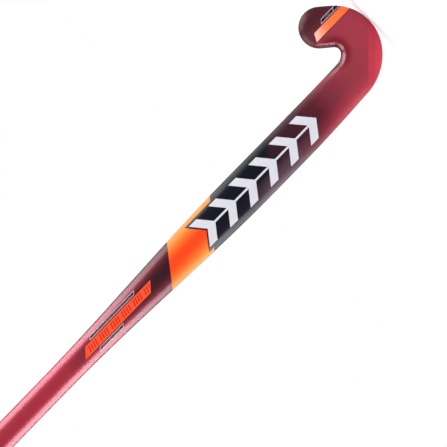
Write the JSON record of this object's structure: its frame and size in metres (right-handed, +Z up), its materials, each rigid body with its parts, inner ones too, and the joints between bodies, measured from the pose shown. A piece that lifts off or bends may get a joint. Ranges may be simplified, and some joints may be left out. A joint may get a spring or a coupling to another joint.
{
  "type": "indoor hockey stick",
  "caption": "Hollow composite hockey stick with a flat playing face, rounded back, bowed shaft, hooked head and wound grip.",
  "frame": {"origin": "the middle of the grip, on the handle's centre line", "axes": "+Z runs up the stick from the head to the butt, along the line it spans when it lies on its playing face. -Y is the way the flat playing face looks, and the rounded back is on the +Y side. -X is the toe side of the head, +X the heel side."},
  "size_m": [0.1121, 0.0493, 0.9269],
  "materials": {
    "lacquered_laminate": "satin lacquer over carbon and glass laminate, black to maroon, red and orange",
    "carbon_tube": "bare woven carbon laminate",
    "aramid_sleeve": "resin-wetted woven sleeve",
    "structural_foam": "fine closed-cell foam",
    "plug_wood": "turned and sealed",
    "cap_rubber": "moulded, matt",
    "underlay_tape": "thin adhesive foam tape",
    "grip_tape": "soft synthetic leather tape, wound with overlapping turns",
    "finishing_tape": "stretched vinyl tape",
    "white_film": "printed film under lacquer",
    "orange_film": "printed film under lacquer",
    "dark_film": "printed film under lacquer, grey outline",
    "maroon_film": "printed film under lacquer"
  },
  "bodies": {
    "root": {"outer_laminate": "lacquered_laminate", "core_sleeve": "aramid_sleeve", "head_core": "structural_foam", "heel_side_tube": "carbon_tube", "toe_side_tube": "carbon_tube", "butt_plug": "plug_wood", "end_cap": "cap_rubber", "grip_underlay": "underlay_tape", "grip_wrap": "grip_tape", "finishing_tape": "finishing_tape", "face_chevron_film": "white_film", "back_chevron_film": "white_film", "face_label_film": "orange_film", "back_label_film": "orange_film", "toe_stripe_film": "orange_film", "face_long_tag_film": "dark_film", "face_short_tag_film": "dark_film", "back_long_tag_film": "dark_film", "back_short_tag_film": "dark_film", "toe_tag_film": "dark_film", "neck_line_film": "maroon_film"}
  },
  "joints": []
}
